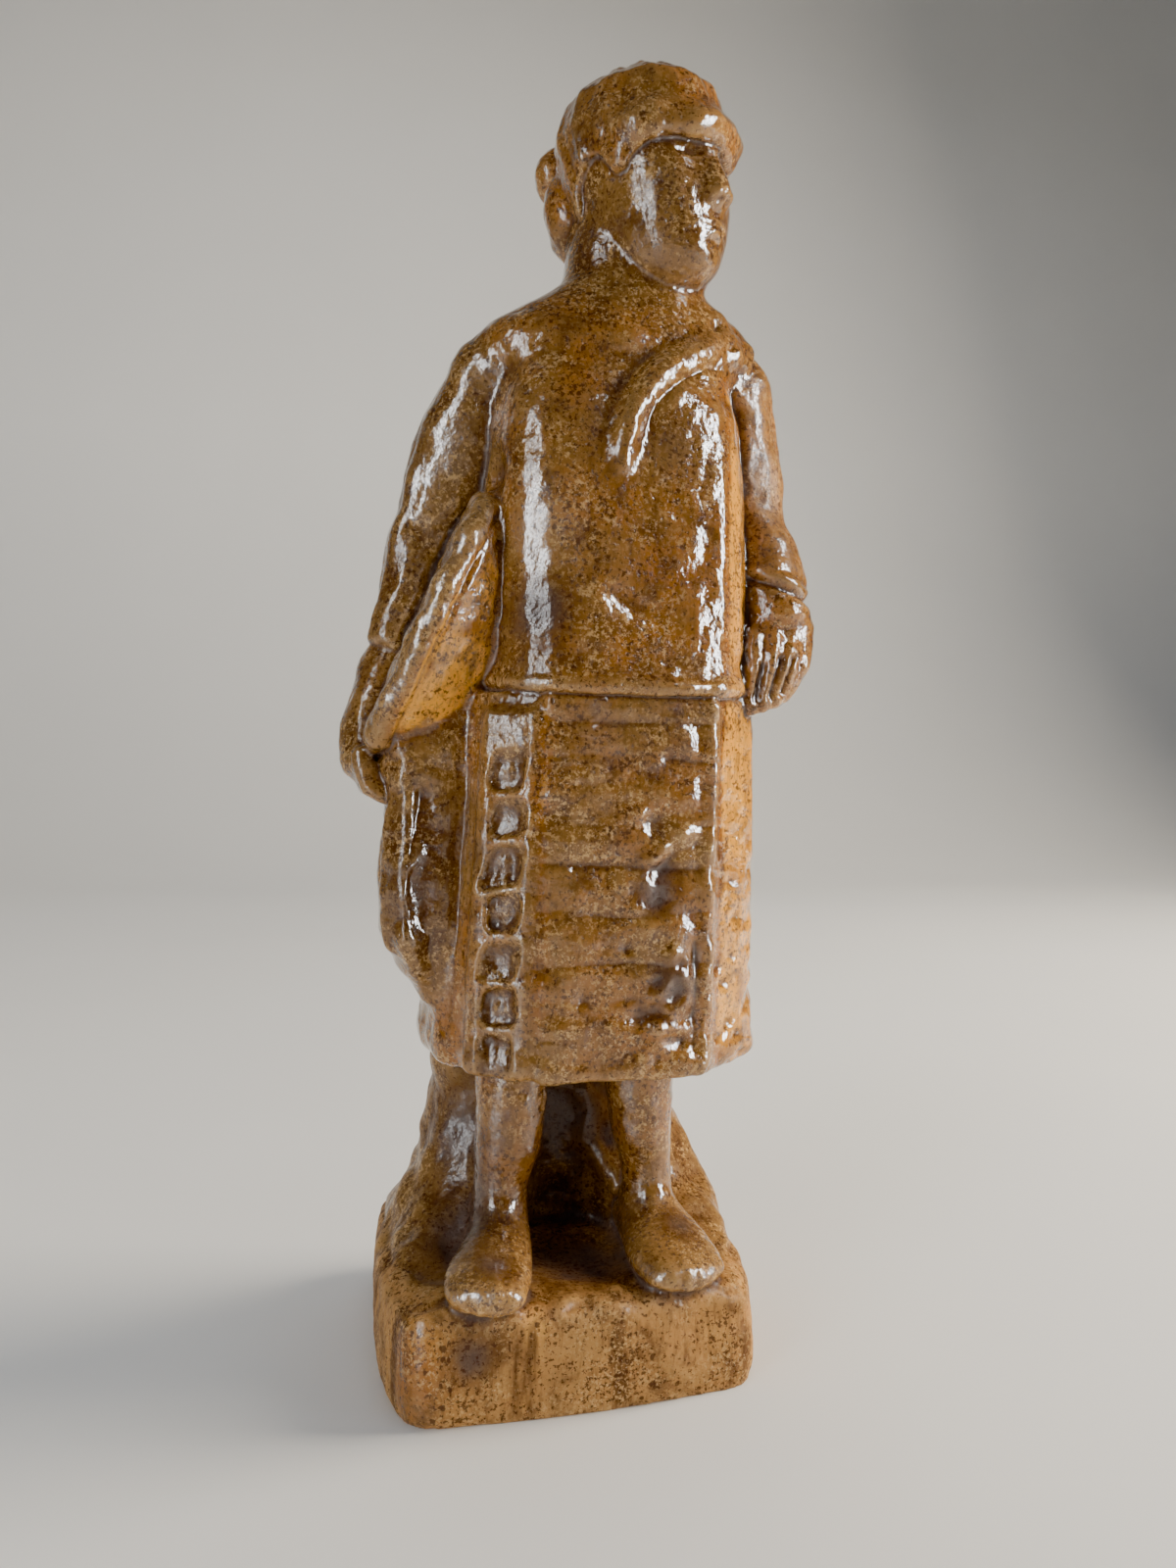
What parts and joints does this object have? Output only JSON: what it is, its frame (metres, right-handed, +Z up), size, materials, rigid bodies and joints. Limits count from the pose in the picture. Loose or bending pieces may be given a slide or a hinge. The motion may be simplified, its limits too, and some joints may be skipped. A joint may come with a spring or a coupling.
{
  "type": "pottery figurine",
  "caption": "Hollow salt-glazed stoneware figure in jacket, shawl, skirt and apron, with a hat under the arm, standing on a rock-backed plinth.",
  "frame": {"origin": "centre of the outline's box, on the table that the foot rim stands on", "axes": "+Z up, the figure's front faces -Y, +X is the figure's own left"},
  "size_m": [0.1092, 0.0782, 0.2972],
  "materials": {
    "figure_glaze": "glossy speckled brown salt glaze",
    "hat_glaze": "glossy speckled orange-brown salt glaze",
    "rock_glaze": "half-matt speckled brown salt glaze"
  },
  "bodies": {
    "root": {"plinth": "rock_glaze", "rock_support": "rock_glaze", "right_foot": "figure_glaze", "left_foot": "figure_glaze", "right_leg": "figure_glaze", "left_leg": "figure_glaze", "skirt": "figure_glaze", "apron": "figure_glaze", "apron_border": "figure_glaze", "jacket": "figure_glaze", "shawl": "figure_glaze", "shawl_end": "figure_glaze", "head": "figure_glaze", "hair": "figure_glaze", "chignon": "figure_glaze", "right_sleeve": "figure_glaze", "left_sleeve": "figure_glaze", "left_wrist": "figure_glaze", "left_hand": "figure_glaze", "hat_brim": "hat_glaze", "hat_crown": "hat_glaze", "right_hand": "figure_glaze", "cloth": "figure_glaze"}
  },
  "joints": []
}
